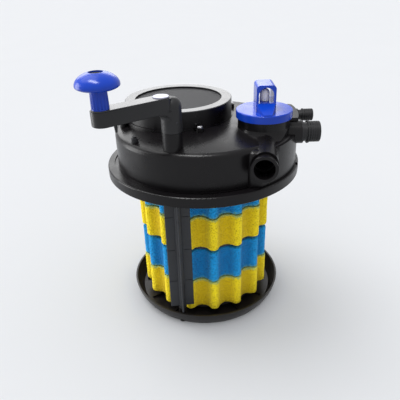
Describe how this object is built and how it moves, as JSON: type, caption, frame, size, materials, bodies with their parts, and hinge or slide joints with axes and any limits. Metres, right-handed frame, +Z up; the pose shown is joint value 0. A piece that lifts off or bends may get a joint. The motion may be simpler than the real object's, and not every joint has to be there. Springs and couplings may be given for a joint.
{
  "type": "pond filter insert",
  "caption": "Canister filter insert: domed head with crank, dial and hose ports over a stack of lobed foam rings, a finned squeeze roller and a shallow tray",
  "frame": {"origin": "Centre of the tray's flat underside, on the axis that the foam stack turns about", "axes": "+Z up along the foam's axis; the front hose port faces -Y; the side hose tails face +X"},
  "size_m": [0.3538, 0.3718, 0.4588],
  "materials": {
    "head_black": "satin moulded ABS, fine grain",
    "tray_black": "satin moulded ABS",
    "crank_black": "satin glass-filled nylon",
    "light_trim": "light grey gloss trim",
    "cover_dark": "fine spark-eroded texture",
    "cap_pearl": "pale pearl gloss",
    "blue_plastic": "glossy blue moulding",
    "lens_frosted": "frosted translucent white",
    "roller_grey": "dark grey polypropylene",
    "foam_yellow": "open-cell filter foam, coarse",
    "foam_blue": "open-cell filter foam, fine",
    "inner_black": "moulded polypropylene",
    "white_plastic": "moulded acetal",
    "seal_rubber": "EPDM",
    "steel": "stainless",
    "dark_steel": "blackened stainless",
    "quartz": "clear quartz",
    "lamp_glass": "lamp tube"
  },
  "bodies": {
    "root": {"base_tray": "tray_black", "thrust_washer": "white_plastic", "pivot_bush_lower": "inner_black", "centre_tube": "inner_black", "bearing_spider": "inner_black", "pivot_bush_upper": "white_plastic", "shaft_seal": "seal_rubber", "head_shell": "head_black", "head_seal": "seal_rubber", "vent_screw": "cover_dark", "drum_shell": "head_black", "drum_trim": "light_trim", "drum_cover": "cover_dark", "drum_screws": "steel", "lamp_holder": "inner_black", "sleeve_nut": "inner_black", "quartz_sleeve": "quartz", "uv_lamp": "lamp_glass", "ballast": "inner_black", "cable_gland": "crank_black", "valve_cap": "inner_black", "stem_seal": "seal_rubber", "front_port": "head_black", "side_port": "crank_black", "drain_port": "crank_black"},
    "crank": {"crank_arm": "crank_black", "arm_cover": "light_trim", "hub_cap": "cap_pearl", "sleeve_pin": "dark_steel", "knob_spindle": "steel", "roller_shaft": "steel", "squeeze_roller": "roller_grey"},
    "knob_turning": {"knob": "blue_plastic", "knob_plug": "cover_dark"},
    "foam_stack": {"carrier_plate": "inner_black", "core_tube": "inner_black", "foam_ring_1_yellow": "foam_yellow", "foam_ring_2_blue": "foam_blue", "foam_ring_3_yellow": "foam_yellow", "foam_ring_4_blue": "foam_blue", "foam_divider": "inner_black", "clamp_plate": "inner_black"},
    "valve": {"dial": "blue_plastic", "indicator_lens": "lens_frosted", "valve_rotor": "inner_black"}
  },
  "joints": [
    {"name": "crank_turn", "type": "hinge", "parent": "root", "child": "crank", "pos_m": [-0.0431, -0.1184, 0.35885], "axis": [0, 0, 1], "continuous": true},
    {"name": "knob_spin", "type": "hinge", "parent": "crank", "child": "knob_turning", "pos_m": [-0.12829, -0.17805, 0.4123], "axis": [0, 0, 1], "continuous": true},
    {"name": "foam_turn", "type": "hinge", "parent": "root", "child": "foam_stack", "pos_m": [0, 0, 0.012], "axis": [0, 0, 1], "continuous": true},
    {"name": "dial_turn", "type": "hinge", "parent": "root", "child": "valve", "pos_m": [0.09899, -0.0449, 0.35385], "axis": [0, 0, -1], "range_deg": [0, 90]}
  ],
  "couplings": [
    {"joint": "foam_turn", "follows": "crank_turn", "ratio": -0.25}
  ]
}
